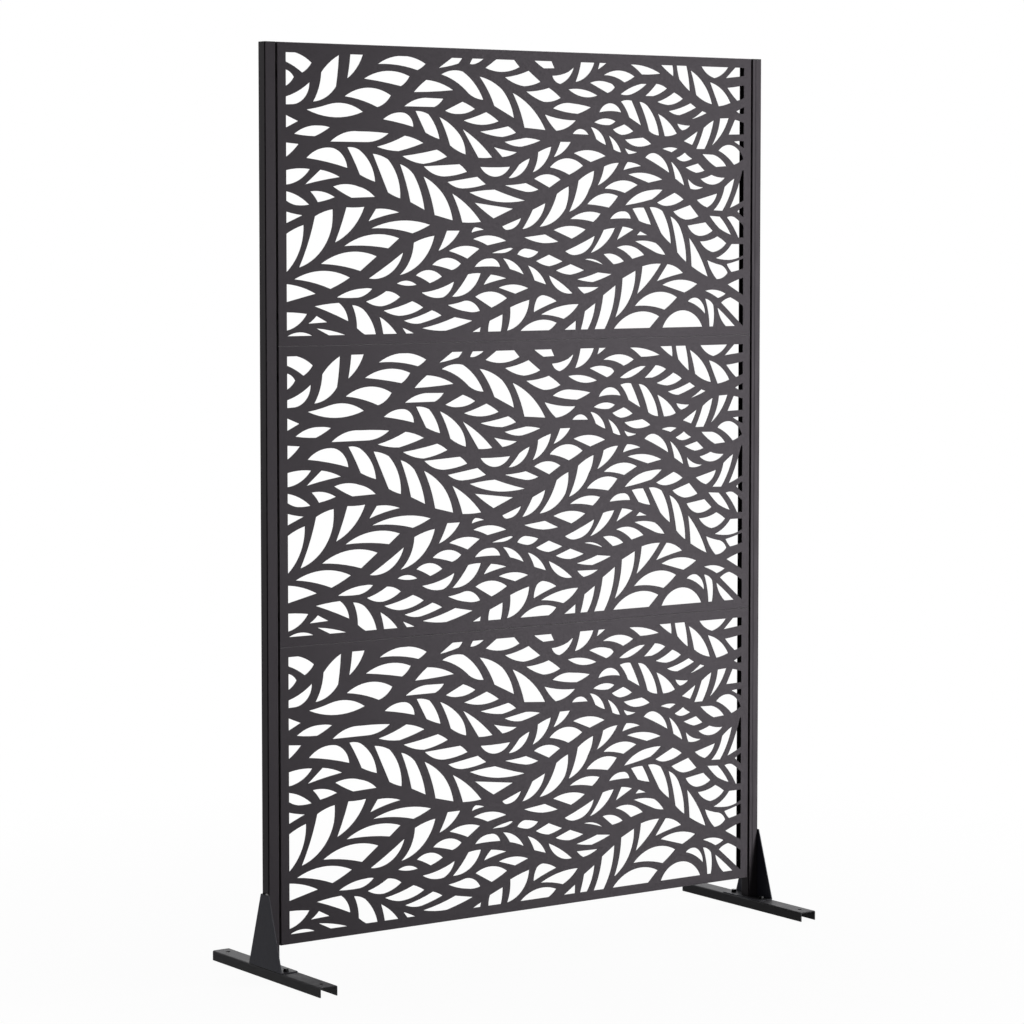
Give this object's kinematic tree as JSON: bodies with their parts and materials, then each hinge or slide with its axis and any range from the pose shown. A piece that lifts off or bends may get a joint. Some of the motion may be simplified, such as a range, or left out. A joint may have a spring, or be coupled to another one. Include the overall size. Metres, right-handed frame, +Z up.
{
  "type": "metal privacy screen",
  "caption": "Free-standing garden screen: stacked steel sheet panels with laser-cut leaves, bolted between square posts that stand on channel feet with tapered brackets.",
  "frame": {"origin": "on the floor, midway between the posts, in the plane through their centres", "axes": "+Z up, +X to the right seen from the front, -Y to the front, where the panels' plain faces are"},
  "size_m": [1.2606, 0.411, 1.856],
  "materials": {
    "panel_coat": "satin charcoal powder coat on steel sheet",
    "post_coat": "satin charcoal powder coat on steel tube",
    "foot_coat": "satin charcoal powder coat on steel channel",
    "bracket_coat": "satin charcoal powder coat on bent plate",
    "cap_plastic": "moulded black plastic",
    "black_bolt": "black oxide steel",
    "zinc": "bright zinc plate",
    "spacer_plastic": "black plastic"
  },
  "bodies": {
    "root": {"panel_bottom": "panel_coat", "panel_middle": "panel_coat", "panel_top": "panel_coat", "post_left": "post_coat", "post_right": "post_coat", "foot_channel_left": "foot_coat", "foot_channel_right": "foot_coat", "foot_bracket_left": "bracket_coat", "foot_bracket_right": "bracket_coat", "post_cap_left": "cap_plastic", "post_cap_right": "cap_plastic", "foot_bolts_left": "black_bolt", "foot_bolts_right": "black_bolt", "foot_washers_left": "black_bolt", "foot_washers_right": "black_bolt", "foot_nuts_left": "zinc", "foot_nuts_right": "zinc", "bracket_welds_left": "zinc", "bracket_welds_right": "zinc", "side_screws_left": "zinc", "side_screws_right": "zinc", "side_washers_left": "zinc", "side_washers_right": "zinc", "rivet_nuts_left": "zinc", "rivet_nuts_right": "zinc", "seam_bolts_lower": "zinc", "seam_bolts_upper": "zinc", "seam_nuts_lower": "zinc", "seam_nuts_upper": "zinc", "side_spacers_left": "spacer_plastic", "side_spacers_right": "spacer_plastic"}
  },
  "joints": []
}
